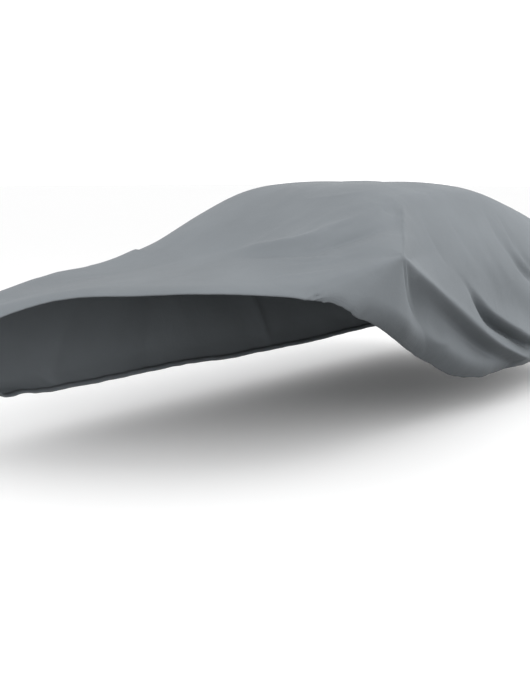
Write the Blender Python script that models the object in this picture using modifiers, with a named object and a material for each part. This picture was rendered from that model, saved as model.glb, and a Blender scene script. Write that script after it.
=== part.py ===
"""Fitted car cover, drawn back off one front corner.

One sheet of cloth, modelled in the shape in which it hangs: taut over its front deck, slopes and roof,
with a tent that stands out on either side, and falling to a low gathered hem. On the near side (+X) the
front corner is drawn back, so that the edge crosses the front deck and comes down along the side.

Metres, +Z up, front end towards -Y. The origin lies under the top of the roof, against the cloth.
"""

import bpy
import numpy as np

# Driving sizes. In the tables "back" is the distance behind the front end and "up" the height above
# the ground; both are moved to the origin at the end.
CLOTH = 0.002
ORIGIN_BACK = 2.75
ROOF_TOP = 1.487
ORIGIN_UP = ROOF_TOP - CLOTH

# Where the lengthwise and crosswise lines of the mesh lie, closer together on the folded near side.
ROW_SPANS = (
    # from, to, rows
    (0.00, 0.02, 2),
    (0.02, 0.36, 20),
    (0.36, 0.76, 38),
    (0.76, 0.98, 14),
    (0.98, 1.00, 2),
)
COLUMN_SPANS = (
    # from, to, columns
    (-1.00, -0.95, 2),
    (-0.95, -0.40, 5),
    (-0.40, 0.46, 9),
    (0.46, 0.66, 4),
    (0.66, 0.82, 7),
    (0.82, 0.93, 4),
    (0.93, 1.00, 3),
)

# Cross-sections from the front hem to the rear hem, a row each:
# back and up of the middle, half-width and height of the shoulder (the edge of deck or roof),
# half-width and height of the waist, half-width and height of the low hem, and how far the section's
# two ends are swept towards the middle of the cover.
SECTIONS = (
    # back,  up, shoulder_x, shoulder_z, waist_x, waist_z, hem_x, hem_z, sweep
    (0.07, 0.26, 0.36, 0.26, 0.64, 0.26, 0.82, 0.26, 0.34),
    (-0.01, 0.46, 0.44, 0.46, 0.76, 0.42, 0.87, 0.26, 0.52),
    (0.03, 0.68, 0.52, 0.66, 0.83, 0.54, 0.90, 0.26, 0.62),
    (0.15, 0.82, 0.58, 0.79, 0.87, 0.64, 0.92, 0.25, 0.62),
    (0.40, 0.885, 0.63, 0.855, 0.89, 0.72, 0.93, 0.24, 0.52),
    (0.80, 0.935, 0.66, 0.92, 0.90, 0.80, 0.94, 0.24, 0.32),
    (1.20, 0.985, 0.66, 0.965, 0.91, 0.86, 0.94, 0.24, 0.14),
    (1.50, 1.06, 0.64, 1.05, 0.91, 0.90, 0.94, 0.24, 0.05),
    (1.72, 1.18, 0.63, 1.16, 0.91, 0.92, 0.94, 0.24, 0.0),
    (2.00, 1.335, 0.63, 1.275, 0.91, 0.94, 0.94, 0.24, 0.0),
    (2.25, 1.44, 0.61, 1.365, 0.91, 0.95, 0.94, 0.23, 0.0),
    (2.48, 1.475, 0.60, 1.395, 0.91, 0.95, 0.94, 0.22, 0.0),
    (2.93, 1.485, 0.60, 1.405, 0.91, 0.95, 0.94, 0.22, 0.0),
    (3.40, 1.45, 0.60, 1.385, 0.91, 0.95, 0.94, 0.22, 0.0),
    (3.75, 1.37, 0.61, 1.315, 0.91, 0.94, 0.94, 0.23, 0.0),
    (4.15, 1.245, 0.64, 1.19, 0.91, 0.92, 0.94, 0.24, -0.04),
    (4.50, 1.135, 0.67, 1.09, 0.90, 0.87, 0.93, 0.24, -0.14),
    (4.78, 1.06, 0.66, 1.02, 0.88, 0.78, 0.91, 0.25, -0.28),
    (4.93, 0.88, 0.60, 0.86, 0.83, 0.66, 0.88, 0.26, -0.36),
    (4.97, 0.56, 0.50, 0.55, 0.74, 0.46, 0.85, 0.26, -0.36),
    (4.90, 0.27, 0.40, 0.27, 0.62, 0.27, 0.80, 0.26, -0.30),
)
SHOULDER_AT = 0.40
WAIST_AT = 0.62

# Edge of the drawn-back corner: how much cloth is missing from the front of each lengthwise line.
# across runs from -1, the far hem, over 0, the middle, to 1, the near hem.
DRAWN_BACK = (
    # across, missing
    (-1.00, 0.0),
    (-0.62, 0.0),
    (-0.45, 0.16),
    (-0.32, 0.46),
    (-0.24, 0.72),
    (-0.15, 1.02),
    (-0.07, 1.18),
    (0.11, 1.27),
    (0.26, 1.36),
    (0.45, 1.48),
    (0.62, 1.63),
    (0.76, 1.73),
    (0.90, 1.775),
    (1.00, 1.82),
)
DRAWN_BACK_REACH = 0.65

# Height at which the long ridge from the tent crosses the plain near side; the lengthwise line of the
# mesh at RIDGE_AT follows it.
RIDGE_AT = 0.74
RIDGE_LINE = (
    # back, up
    (1.20, 0.925),
    (1.50, 0.95),
    (1.90, 0.98),
    (2.17, 0.90),
    (2.50, 0.725),
    (2.755, 0.60),
    (3.04, 0.47),
    (3.48, 0.315),
    (3.75, 0.275),
    (4.97, 0.33),
)

# Height of the hem down the near side.
NEAR_HEM = (
    # back, up
    (1.20, 0.90),
    (1.36, 0.89),
    (1.51, 0.80),
    (1.62, 0.765),
    (1.80, 0.69),
    (2.00, 0.598),
    (2.20, 0.513),
    (2.43, 0.41),
    (2.60, 0.337),
    (2.78, 0.27),
    (3.11, 0.22),
    (3.60, 0.22),
    (4.20, 0.24),
    (4.97, 0.26),
)

# Ridges and folds, a row each. A line runs over the plain cover through its points, given as distance
# from the middle plane, back, up, and rise: how far the cloth stands out there (or sinks in, where it is
# negative). The widths say how far off, to the line's left and right as seen from outside, the cloth is
# plain again. Each side has a tent, whose ridges meet at its tip.
NEAR_TIP = (0.877, 1.852, 1.002, 0.19)
FAR_TIP = (0.90, 1.90, 0.95, 0.13)

# Forward of the near tip the cloth is stretched straight from the tip itself to this rim: down the edge
# of the front slope, over the deck, and on past the hem to below the tip. The last column is the share
# of that stretch that the cloth keeps there; below the tip it falls slack.
NEAR_PEAK = (1.04, 1.836, 1.099)
NEAR_RIM = (
    # half, back, up, kept
    (0.664, 2.364, 1.339, 1.0),
    (0.655, 2.167, 1.315, 1.0),
    (0.629, 1.983, 1.269, 1.0),
    (0.60, 1.817, 1.212, 1.0),
    (0.60, 1.71, 1.155, 1.0),
    (0.56, 1.60, 1.10, 1.0),
    (0.50, 1.47, 1.05, 1.0),
    (0.56, 1.33, 1.005, 1.0),
    (0.66, 1.24, 0.972, 1.0),
    (0.75, 1.20, 0.943, 1.0),
    (0.81, 1.22, 0.915, 1.0),
    (0.88, 1.27, 0.87, 1.0),
    (0.965, 1.379, 0.77, 1.0),
    (1.03, 1.58, 0.65, 1.0),
    (1.055, 1.783, 0.55, 1.0),
    (1.03, 2.02, 0.44, 0.95),
    (0.985, 2.26, 0.34, 0.60),
    (0.945, 2.50, 0.26, 0.0),
)
RIM_STEPS = 60
RIM_FADE = 0.08
TENT_RIDGES = (
    # name, side, line, width_left, width_right
    ("tip to roof edge", "near",
     (NEAR_TIP, (0.837, 1.98, 1.08, 0.136), (0.785, 2.109, 1.171, 0.087), (0.731, 2.233, 1.255, 0.042),
      (0.664, 2.364, 1.339, 0.008)),
     0.04, 0.40),
    ("long ridge", "near",
     (NEAR_TIP, (0.905, 2.02, 0.957, 0.134), (0.927, 2.204, 0.881, 0.10), (0.941, 2.39, 0.793, 0.076),
      (0.948, 2.571, 0.704, 0.062), (0.949, 2.759, 0.607, 0.054), (0.944, 3.05, 0.475, 0.044),
      (0.94, 3.516, 0.305, 0.036), (0.94, 3.80, 0.25, 0.03)),
     0.34, 0.16),
    ("tip to roof edge", "far", (FAR_TIP, (0.76, 2.15, 1.16, 0.03), (0.62, 2.40, 1.37, 0.0)), 0.30, 0.24),
    ("tip forward", "far", (FAR_TIP, (0.86, 1.50, 0.925, 0.045), (0.82, 1.10, 0.90, 0.02)), 0.22, 0.26),
    ("tip to hem", "far", (FAR_TIP, (0.92, 1.82, 0.62, 0.045), (0.94, 1.75, 0.30, 0.02)), 0.40, 0.40),
    ("tip to the rear", "far",
     (FAR_TIP, (0.945, 2.55, 0.72, 0.045), (0.94, 3.30, 0.50, 0.02)),
     0.40, 0.35),
)
FOLDS = (
    # name, side, line, width_left, width_right
    ("hollow under the long ridge", "near",
     ((0.91, 2.02, 0.87, 0.0), (0.94, 2.33, 0.73, -0.012), (0.948, 2.59, 0.60, -0.035),
      (0.944, 2.86, 0.47, -0.055), (0.94, 3.11, 0.365, -0.055), (0.94, 3.45, 0.26, -0.045)),
     0.08, 0.15),
    ("deep fold over the long ridge", "near",
     ((0.906, 2.54, 0.985, 0.0), (0.927, 2.66, 0.88, -0.004), (0.94, 2.73, 0.80, -0.010),
      (0.949, 2.905, 0.65, -0.045), (0.947, 3.165, 0.525, -0.07), (0.941, 3.545, 0.375, -0.07),
      (0.94, 3.90, 0.29, -0.03)),
     0.04, 0.10),
    ("lip over the deep fold", "near",
     ((0.927, 2.74, 0.86, 0.0), (0.942, 2.88, 0.72, 0.014), (0.949, 3.06, 0.62, 0.030),
      (0.947, 3.28, 0.53, 0.04), (0.943, 3.50, 0.448, 0.04), (0.94, 3.85, 0.365, 0.02)),
     0.16, 0.05),
    ("drape from the roof", "near",
     ((0.70, 3.17, 1.31, -0.002), (0.842, 3.258, 1.104, -0.008), (0.907, 3.352, 0.958, -0.014),
      (0.93, 3.515, 0.862, -0.028), (0.935, 3.85, 0.70, -0.03)),
     0.09, 0.12),
    ("drape from the rear slope", "near",
     ((0.64, 3.85, 1.25, -0.006), (0.91, 4.15, 0.85, -0.028), (0.94, 4.50, 0.35, -0.035)),
     0.08, 0.18),
    ("edge of the front slope", "near",
     ((0.655, 2.167, 1.315, 0.010), (0.629, 1.983, 1.269, 0.014), (0.574, 1.817, 1.218, 0.016),
      (0.538, 1.721, 1.18, 0.018), (0.424, 1.644, 1.144, 0.018), (0.172, 1.589, 1.105, 0.012),
      (-0.10, 1.51, 1.07, 0.0)),
     0.07, 0.28),
    ("trough below that edge", "near",
     ((0.74, 2.21, 1.24, 0.0), (0.745, 2.073, 1.205, -0.025), (0.737, 1.956, 1.188, -0.04),
      (0.707, 1.838, 1.172, -0.042), (0.663, 1.745, 1.159, -0.038), (0.603, 1.642, 1.125, -0.028),
      (0.479, 1.574, 1.101, -0.02), (0.233, 1.523, 1.073, -0.01), (0.0, 1.48, 1.05, 0.0)),
     0.12, 0.08),
    ("roof edge", "near",
     ((0.629, 2.203, 1.342, 0.004), (0.623, 2.448, 1.378, 0.012), (0.606, 2.926, 1.401, 0.014),
      (0.609, 3.156, 1.395, 0.014), (0.614, 3.411, 1.375, 0.010), (0.64, 3.66, 1.32, 0.002)),
     0.12, 0.10),
    ("drape down the side", "far",
     ((0.72, 2.60, 1.25, -0.006), (0.92, 2.75, 0.85, -0.024), (0.94, 2.95, 0.30, -0.03)),
     0.10, 0.18),
    ("drape from the rear slope", "far",
     ((0.68, 3.55, 1.30, -0.008), (0.92, 3.75, 0.85, -0.028), (0.94, 4.05, 0.35, -0.035)),
     0.10, 0.18),
    ("drape down the front side", "far",
     ((0.80, 1.30, 0.93, -0.004), (0.90, 1.15, 0.70, -0.022), (0.94, 0.95, 0.32, -0.03)),
     0.16, 0.10),
    ("swell along the front deck", "far",
     ((0.66, 0.45, 0.86, 0.05), (0.65, 0.95, 0.94, 0.05), (0.64, 1.45, 1.02, 0.05)),
     0.30, 0.30),
)
# Near and far folds fade out over this distance at the middle plane.
MIDDLE_BLEND = 0.20
LINE_STEPS = 24
SIDE_FACES = np.array((0.8, 0.0, 0.6))
CREST_RADIUS = 0.012
SIDES_PART = 1.5
ENDS_STOP = 1.5
MOST_RISE = 0.25
TINY = 1e-9

# The elastic hem pulls the last of the cloth in: by how much at the hem, and over what length of cloth.
# Where the cloth is drawn back and lies nearly flat, it pulls in by only part of that.
HEM_PULL = 0.10
HEM_PULL_REACH = 0.15
DRAWN_EDGE_PULL = 0.20
NEAR_PULL_STARTS = 1.45
NEAR_PULL_FULL = 1.90


def pick(table, index):
    """Row `index` of a table whose rows are numbers, or are arrays like `index`."""
    if table.ndim == 1:
        return table[index]
    return np.take_along_axis(table, index[None], axis=0)[0]


def curve(knots, values, at):
    """Smooth curve through one value, or one array like `at`, for each knot."""
    knots = np.asarray(knots, dtype=float)
    values = np.asarray(values, dtype=float)
    at = np.clip(at, knots[0], knots[-1])
    last = len(knots) - 1
    slopes = np.empty_like(values)
    for k in range(last + 1):
        before, after = max(k - 1, 0), min(k + 1, last)
        slopes[k] = (values[after] - values[before]) / (knots[after] - knots[before])
    piece = np.clip(np.searchsorted(knots, at, side="right") - 1, 0, last - 1)
    span = knots[piece + 1] - knots[piece]
    t = (at - knots[piece]) / span
    return (
        (2 * t**3 - 3 * t**2 + 1) * pick(values, piece)
        + (t**3 - 2 * t**2 + t) * span * pick(slopes, piece)
        + (3 * t**2 - 2 * t**3) * pick(values, piece + 1)
        + (t**3 - t**2) * span * pick(slopes, piece + 1)
    )


SECTION = dict(zip(
    ("back", "up", "shoulder_x", "shoulder_z", "waist_x", "waist_z", "hem_x", "hem_z", "sweep"),
    np.array(SECTIONS).T,
))
# Cloth length along the middle line, from the front hem to each section.
STEPS = np.hypot(np.diff(SECTION["back"]), np.diff(SECTION["up"]))
TRAVEL = np.concatenate(([0.0], np.cumsum(STEPS)))
LENGTH = TRAVEL[-1]
ROUND = (0.0, SHOULDER_AT, WAIST_AT, 1.0)
# The side is searched for a height from here round to the hem, by halving.
TOP_ENDS = 0.35
HALVINGS = 20


def cut_through(travel):
    """The cross-section's sizes at each distance of travel along the middle line."""
    return {name: curve(TRAVEL, column, travel) for name, column in SECTION.items()}


def height(cut, around):
    """Height of the section, a share of the way round from the middle to the low hem."""
    return curve(ROUND, (cut["up"], cut["shoulder_z"], cut["waist_z"], cut["hem_z"]), around)


def around_at_height(cut, up):
    """How far round the section the plain side passes a height."""
    low = np.full(up.shape, TOP_ENDS)
    high = np.ones(up.shape)
    for _ in range(HALVINGS):
        middle = (low + high) / 2
        above = height(cut, middle) > up
        low = np.where(above, middle, low)
        high = np.where(above, high, middle)
    return high


def near_around(cut, across):
    """Spread the near side's lengthwise lines from the middle to the ridge, and on to the raised hem."""
    ridge = around_at_height(cut, curve(*zip(*RIDGE_LINE), cut["back"]))
    hem = around_at_height(cut, curve(*zip(*NEAR_HEM), cut["back"]))
    below = np.clip((across - RIDGE_AT) / (1.0 - RIDGE_AT), 0.0, 1.0)
    return np.where(across < RIDGE_AT, across / RIDGE_AT * ridge, ridge + below * (hem - ridge))


def plain_cover(along, across):
    """Shape of the cover before folds, for a grid of along 0..1 and across -1..1."""
    missing = curve(*zip(*DRAWN_BACK), across)
    left = np.clip(1.0 - along / DRAWN_BACK_REACH, 0.0, 1.0)
    cut = cut_through(along * LENGTH + missing * left**2 * (3.0 - 2.0 * left))
    around = np.where(across > 0.0, near_around(cut, across), np.abs(across))
    half = curve(ROUND, (np.zeros(across.shape), cut["shoulder_x"], cut["waist_x"], cut["hem_x"]), around)
    back = cut["back"] + cut["sweep"] * around**2
    return np.stack((np.sign(across) * half, back, height(cut, around)), axis=-1)


def outward(points):
    """Unit normals of a grid of points."""
    lengthwise = np.gradient(points, axis=0)
    crosswise = np.gradient(points, axis=1)
    normal = np.cross(crosswise, lengthwise)
    # At the far front corner both edges run level and give no direction, so the next row's is taken.
    normal[0] = normal[1]
    return normal / np.linalg.norm(normal, axis=-1, keepdims=True)


def ridge(points, line, width_left, width_right):
    """Height of one fold over the plain cover, from the distance to its line."""
    line = np.array(line)
    runs = np.linalg.norm(np.diff(line[:, :3], axis=0), axis=1)
    knots = np.concatenate(([0.0], np.cumsum(runs)))
    places = np.linspace(0.0, knots[-1], LINE_STEPS + 1)
    line = np.stack([curve(knots, column, places) for column in line.T], axis=-1)
    nearest = np.full(points.shape[:-1], np.inf)
    rise = np.zeros(points.shape[:-1])
    lean = np.zeros(points.shape[:-1])
    beyond = np.zeros(points.shape[:-1])
    for (*start, low), (*end, high) in zip(line[:-1], line[1:]):
        run = np.subtract(end, start)
        along = (points - start) @ run / (run @ run)
        t = np.clip(along, 0.0, 1.0)
        gap = points - start - t[..., None] * run
        distance = np.linalg.norm(gap, axis=-1)
        closer = distance < nearest
        nearest = np.where(closer, distance, nearest)
        rise = np.where(closer, low + (high - low) * t, rise)
        leftward = np.cross(SIDE_FACES, run) / np.linalg.norm(np.cross(SIDE_FACES, run))
        lean = np.where(closer, gap @ leftward / np.maximum(distance, TINY), lean)
        beyond = np.where(closer, np.abs(along - t) * np.linalg.norm(run), beyond)
    # Round the ends of the line the two widths pass into each other, and the fold stops sooner.
    left = 0.5 + 0.5 * np.clip(SIDES_PART * lean, -1.0, 1.0)
    distance = np.hypot(nearest, CREST_RADIUS) - CREST_RADIUS + ENDS_STOP * beyond
    fall = np.clip(1.0 - distance / (width_right + left * (width_left - width_right)), 0.0, 1.0)
    return rise * fall**2


def stretched(points, normals):
    """Height over the plain cover of the cloth that is stretched from the near tip to its rim."""
    peak, rim = np.array(NEAR_PEAK), np.array(NEAR_RIM)
    knots = np.arange(len(rim))
    places = np.linspace(0, len(rim) - 1, RIM_STEPS + 1)
    rim = np.stack([curve(knots, column, places) for column in rim.T], axis=-1)
    height_over_plain = np.zeros(points.shape[:-1])
    for (*one, kept), (*other, kept_on) in zip(rim[:-1], rim[1:]):
        one, other = one - peak, other - peak
        face = np.cross(one, other)
        rise = (peak - points) @ face / (normals @ face + TINY)
        spot = points + rise[..., None] * normals - peak
        u, v = np.moveaxis(spot @ np.linalg.pinv(np.stack((one, other))), -1, 0)
        inside = (u >= 0.0) & (v >= 0.0) & (u + v <= 1.0) & (rise < MOST_RISE)
        share = (kept * u + kept_on * v) / np.maximum(u + v, TINY)
        fade = np.clip((1.0 - u - v) / RIM_FADE, 0.0, 1.0) * share
        height_over_plain = np.where(inside, np.maximum(rise * fade, height_over_plain), height_over_plain)
    return height_over_plain


def relief(points, normals):
    """How far the tents and all the folds move each point of the cover outwards."""
    mirrored = np.stack((np.abs(points[..., 0]), points[..., 1], points[..., 2]), axis=-1)
    share = {
        "near": np.clip(points[..., 0] / MIDDLE_BLEND, 0.0, 1.0),
        "far": np.clip(-points[..., 0] / MIDDLE_BLEND, 0.0, 1.0),
    }
    tent = stretched(points, normals) * share["near"]
    for _, side, *shape in TENT_RIDGES:
        tent = np.maximum(tent, ridge(mirrored, *shape) * share[side])
    folds = sum(ridge(mirrored, *shape) * share[side] for _, side, *shape in FOLDS)
    return tent + folds


def run_along(points, axis):
    """Length of cloth along the grid lines of one axis, from its first point."""
    steps = np.linalg.norm(np.diff(points, axis=axis), axis=-1)
    start = np.zeros_like(np.take(steps, [0], axis=axis))
    return np.concatenate((start, np.cumsum(steps, axis=axis)), axis=axis)


def hem_pull(points, across):
    """How far the elastic hem pulls each point in."""
    lengthwise, crosswise = run_along(points, 0), run_along(points, 1)
    drawn = np.clip(curve(*zip(*DRAWN_BACK), across), 0.0, 1.0)
    back = points[..., 1]
    near = np.clip((back - NEAR_PULL_STARTS) / (NEAR_PULL_FULL - NEAR_PULL_STARTS), 0.0, 1.0)
    pull = np.zeros(across.shape)
    for from_hem, share in (
        (lengthwise, 1.0 - (1.0 - DRAWN_EDGE_PULL) * drawn),
        (lengthwise[-1:] - lengthwise, 1.0),
        (crosswise, 1.0),
        (crosswise[:, -1:] - crosswise, DRAWN_EDGE_PULL + (1.0 - DRAWN_EDGE_PULL) * near),
    ):
        pull = np.maximum(pull, share * HEM_PULL * np.clip(1.0 - from_hem / HEM_PULL_REACH, 0.0, 1.0) ** 2)
    return pull


def cover_points(along, across):
    """The hung cloth about the part's origin, for a grid of along 0..1 and across -1..1."""
    plain = plain_cover(along, across)
    normals = outward(plain)
    folded = plain + normals * relief(plain, normals)[..., None]
    hemmed = folded - normals * hem_pull(folded, across)[..., None]
    return hemmed - np.array((0.0, ORIGIN_BACK, ORIGIN_UP))


def spaced(spans):
    """Places of the mesh lines from rows of (from, to, how many)."""
    starts = [np.linspace(low, high, count + 1)[:-1] for low, high, count in spans]
    return np.append(np.concatenate(starts), spans[-1][1])


def make_cover(collection):
    along, across = np.meshgrid(spaced(ROW_SPANS), spaced(COLUMN_SPANS), indexing="ij")
    points = cover_points(along, across)
    rows, columns = along.shape
    index = np.arange(rows * columns).reshape(rows, columns)
    faces = np.stack((index[:-1, :-1], index[:-1, 1:], index[1:, 1:], index[1:, :-1]), axis=-1)
    mesh = bpy.data.meshes.new("cover")
    mesh.from_pydata(points.reshape(-1, 3).tolist(), [], faces.reshape(-1, 4).tolist())
    mesh.shade_smooth()
    cover = bpy.data.objects.new("cover", mesh)
    collection.objects.link(cover)
    thickness = cover.modifiers.new("cloth thickness", "SOLIDIFY")
    thickness.thickness = CLOTH
    thickness.offset = -1.0
    return cover


def cloth_material():
    material = bpy.data.materials.new("grey cover cloth")
    material.use_nodes = True
    shader = material.node_tree.nodes["Principled BSDF"]
    shader.inputs["Base Color"].default_value = (0.26, 0.28, 0.30, 1.0)
    shader.inputs["Roughness"].default_value = 0.7
    shader.inputs["Metallic"].default_value = 0.0
    return material


def main():
    for thing in list(bpy.data.objects):
        bpy.data.objects.remove(thing)
    collection = bpy.data.collections.new("car cover")
    bpy.context.scene.collection.children.link(collection)
    cover = make_cover(collection)
    cover.data.materials.append(cloth_material())


main()
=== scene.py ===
"""Looks for a fitted cover that is drawn back off one front corner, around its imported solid.

The cloth is one fine sheet on the solid's own surface, with its creases, drapes and gathered hem.
Places are in metres. In the tables "back" is the distance behind the front end and "up" the height
above the ground, as in the solid's own source; both are moved to the frame's origin at the end.
The near side (+X) is the drawn-back one.
"""

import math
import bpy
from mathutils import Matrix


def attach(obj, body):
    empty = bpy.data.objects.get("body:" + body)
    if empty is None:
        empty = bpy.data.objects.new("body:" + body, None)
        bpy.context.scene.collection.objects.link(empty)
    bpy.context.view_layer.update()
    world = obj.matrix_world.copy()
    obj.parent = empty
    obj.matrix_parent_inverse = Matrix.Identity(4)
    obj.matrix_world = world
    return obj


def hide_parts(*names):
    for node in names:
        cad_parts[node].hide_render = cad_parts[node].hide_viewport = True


bl_info = {
    "name": "Fitted Cover",
    "version": (1, 0, 0),
    "blender": (4, 5, 0),
    "location": "3D View > Sidebar > Fitted Cover",
    "description": "Builds a draped, gathered cover and the stage it is shown on",
    "category": "Object",
}

import bpy
import numpy as np
from bpy.props import FloatProperty, FloatVectorProperty, PointerProperty
from mathutils import Vector

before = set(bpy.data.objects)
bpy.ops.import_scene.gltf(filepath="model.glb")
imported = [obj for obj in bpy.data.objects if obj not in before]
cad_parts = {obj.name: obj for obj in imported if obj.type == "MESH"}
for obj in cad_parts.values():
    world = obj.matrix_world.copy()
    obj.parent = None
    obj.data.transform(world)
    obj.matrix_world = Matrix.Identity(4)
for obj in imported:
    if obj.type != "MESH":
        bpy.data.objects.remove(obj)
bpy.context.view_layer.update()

# Back and up of the frame's origin, which lies in the middle plane at the top of the roof.
ORIGIN_BACK = 2.75
ROOF_TOP = 1.487
CLOTH_OF_SOLID = 0.002
ORIGIN_UP = ROOF_TOP - CLOTH_OF_SOLID

# ---------------------------------------------------------------- shape in which the cloth hangs

# Cross-sections from the front hem to the rear hem, a row each: back and up of the middle, half-width
# and height of the shoulder, of the waist and of the low hem, and how far the section's two ends are
# swept towards the middle of the cover.
SECTIONS = (
    # back,  up, shoulder_x, shoulder_z, waist_x, waist_z, hem_x, hem_z, sweep
    (0.07, 0.26, 0.36, 0.26, 0.64, 0.26, 0.82, 0.26, 0.34),
    (-0.01, 0.46, 0.44, 0.46, 0.76, 0.42, 0.87, 0.26, 0.52),
    (0.03, 0.68, 0.52, 0.66, 0.83, 0.54, 0.90, 0.26, 0.62),
    (0.15, 0.82, 0.58, 0.79, 0.87, 0.64, 0.92, 0.25, 0.62),
    (0.40, 0.885, 0.63, 0.855, 0.89, 0.72, 0.93, 0.24, 0.52),
    (0.80, 0.935, 0.66, 0.92, 0.90, 0.80, 0.94, 0.24, 0.32),
    (1.20, 0.985, 0.66, 0.965, 0.91, 0.86, 0.94, 0.24, 0.14),
    (1.50, 1.06, 0.64, 1.05, 0.91, 0.90, 0.94, 0.24, 0.05),
    (1.72, 1.18, 0.63, 1.16, 0.91, 0.92, 0.94, 0.24, 0.0),
    (2.00, 1.335, 0.63, 1.275, 0.91, 0.94, 0.94, 0.24, 0.0),
    (2.25, 1.44, 0.61, 1.365, 0.91, 0.95, 0.94, 0.23, 0.0),
    (2.48, 1.475, 0.60, 1.395, 0.91, 0.95, 0.94, 0.22, 0.0),
    (2.93, 1.485, 0.60, 1.405, 0.91, 0.95, 0.94, 0.22, 0.0),
    (3.40, 1.45, 0.60, 1.385, 0.91, 0.95, 0.94, 0.22, 0.0),
    (3.75, 1.37, 0.61, 1.315, 0.91, 0.94, 0.94, 0.23, 0.0),
    (4.15, 1.245, 0.64, 1.19, 0.91, 0.92, 0.94, 0.24, -0.04),
    (4.50, 1.135, 0.67, 1.09, 0.90, 0.87, 0.93, 0.24, -0.14),
    (4.78, 1.06, 0.66, 1.02, 0.88, 0.78, 0.91, 0.25, -0.28),
    (4.93, 0.88, 0.60, 0.86, 0.83, 0.66, 0.88, 0.26, -0.36),
    (4.97, 0.56, 0.50, 0.55, 0.74, 0.46, 0.85, 0.26, -0.36),
    (4.90, 0.27, 0.40, 0.27, 0.62, 0.27, 0.80, 0.26, -0.30),
)
# Share of the way round a section, from its middle to its low hem, at which these two lie.
SHOULDER_AT = 0.40
WAIST_AT = 0.62

# How much cloth is drawn back from the front of each lengthwise line, from -1, the far hem, over 0,
# the middle, to 1, the near hem.
DRAWN_BACK = (
    # across, missing
    (-1.00, 0.0),
    (-0.62, 0.0),
    (-0.45, 0.16),
    (-0.32, 0.46),
    (-0.24, 0.72),
    (-0.15, 1.02),
    (-0.07, 1.18),
    (0.11, 1.27),
    (0.26, 1.36),
    (0.45, 1.48),
    (0.62, 1.63),
    (0.76, 1.73),
    (0.90, 1.775),
    (1.00, 1.82),
)
# Share of the way to the rear hem at which the cloth lies as if nothing were drawn back.
DRAWN_BACK_REACH = 0.65

# Height at which the long ridge crosses the plain near side; the cloth's line at RIDGE_AT follows it.
RIDGE_AT = 0.74
RIDGE_LINE = (
    # back, up
    (1.20, 0.925),
    (1.50, 0.95),
    (1.90, 0.98),
    (2.17, 0.90),
    (2.50, 0.725),
    (2.755, 0.60),
    (3.04, 0.47),
    (3.48, 0.315),
    (3.75, 0.275),
    (4.97, 0.33),
)

# Height of the hem down the near side.
NEAR_HEM = (
    # back, up
    (1.20, 0.90),
    (1.36, 0.89),
    (1.51, 0.80),
    (1.62, 0.765),
    (1.80, 0.69),
    (2.00, 0.598),
    (2.20, 0.513),
    (2.43, 0.41),
    (2.60, 0.337),
    (2.78, 0.27),
    (3.11, 0.22),
    (3.60, 0.22),
    (4.20, 0.24),
    (4.97, 0.26),
)

# Ridges and folds, a row each. A line runs over the plain cover through its points, given as distance
# from the middle plane, back, up, and rise: how far the cloth stands out there (or sinks in, where it is
# negative). The widths say how far off, to the line's left and right as seen from outside, the cloth is
# plain again. Each side has a tent, whose ridges meet at its tip.
NEAR_TIP = (0.877, 1.852, 1.002, 0.19)
FAR_TIP = (0.90, 1.90, 0.95, 0.13)

# Forward of the near tip the cloth is stretched straight from the tip itself to this rim: down the edge
# of the front slope, over the deck, and on past the hem to below the tip. The last column is the share
# of that stretch that the cloth keeps there; below the tip it falls slack.
NEAR_PEAK = (1.04, 1.836, 1.099)
NEAR_RIM = (
    # half, back, up, kept
    (0.664, 2.364, 1.339, 1.0),
    (0.655, 2.167, 1.315, 1.0),
    (0.629, 1.983, 1.269, 1.0),
    (0.60, 1.817, 1.212, 1.0),
    (0.60, 1.71, 1.155, 1.0),
    (0.56, 1.60, 1.10, 1.0),
    (0.50, 1.47, 1.05, 1.0),
    (0.56, 1.33, 1.005, 1.0),
    (0.66, 1.24, 0.972, 1.0),
    (0.75, 1.20, 0.943, 1.0),
    (0.81, 1.22, 0.915, 1.0),
    (0.88, 1.27, 0.87, 1.0),
    (0.965, 1.379, 0.77, 1.0),
    (1.03, 1.58, 0.65, 1.0),
    (1.055, 1.783, 0.55, 1.0),
    (1.03, 2.02, 0.44, 0.95),
    (0.985, 2.26, 0.34, 0.60),
    (0.945, 2.50, 0.26, 0.0),
)
# Straight pieces of the rim, and the share of the way up to the tip over which the stretch sets in.
RIM_STEPS = 60
RIM_FADE = 0.08
TENT_RIDGES = (
    # name, side, line, width_left, width_right
    ("tip to roof edge", "near",
     (NEAR_TIP, (0.837, 1.98, 1.08, 0.136), (0.785, 2.109, 1.171, 0.087), (0.731, 2.233, 1.255, 0.042),
      (0.664, 2.364, 1.339, 0.008)),
     0.04, 0.40),
    ("long ridge", "near",
     (NEAR_TIP, (0.905, 2.02, 0.957, 0.134), (0.927, 2.204, 0.881, 0.10), (0.941, 2.39, 0.793, 0.076),
      (0.948, 2.571, 0.704, 0.062), (0.949, 2.759, 0.607, 0.054), (0.944, 3.05, 0.475, 0.044),
      (0.94, 3.516, 0.305, 0.036), (0.94, 3.80, 0.25, 0.03)),
     0.34, 0.16),
    ("tip to roof edge", "far", (FAR_TIP, (0.76, 2.15, 1.16, 0.03), (0.62, 2.40, 1.37, 0.0)), 0.30, 0.24),
    ("tip forward", "far", (FAR_TIP, (0.86, 1.50, 0.925, 0.045), (0.82, 1.10, 0.90, 0.02)), 0.22, 0.26),
    ("tip to hem", "far", (FAR_TIP, (0.92, 1.82, 0.62, 0.045), (0.94, 1.75, 0.30, 0.02)), 0.40, 0.40),
    ("tip to the rear", "far",
     (FAR_TIP, (0.945, 2.55, 0.72, 0.045), (0.94, 3.30, 0.50, 0.02)),
     0.40, 0.35),
)
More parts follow.
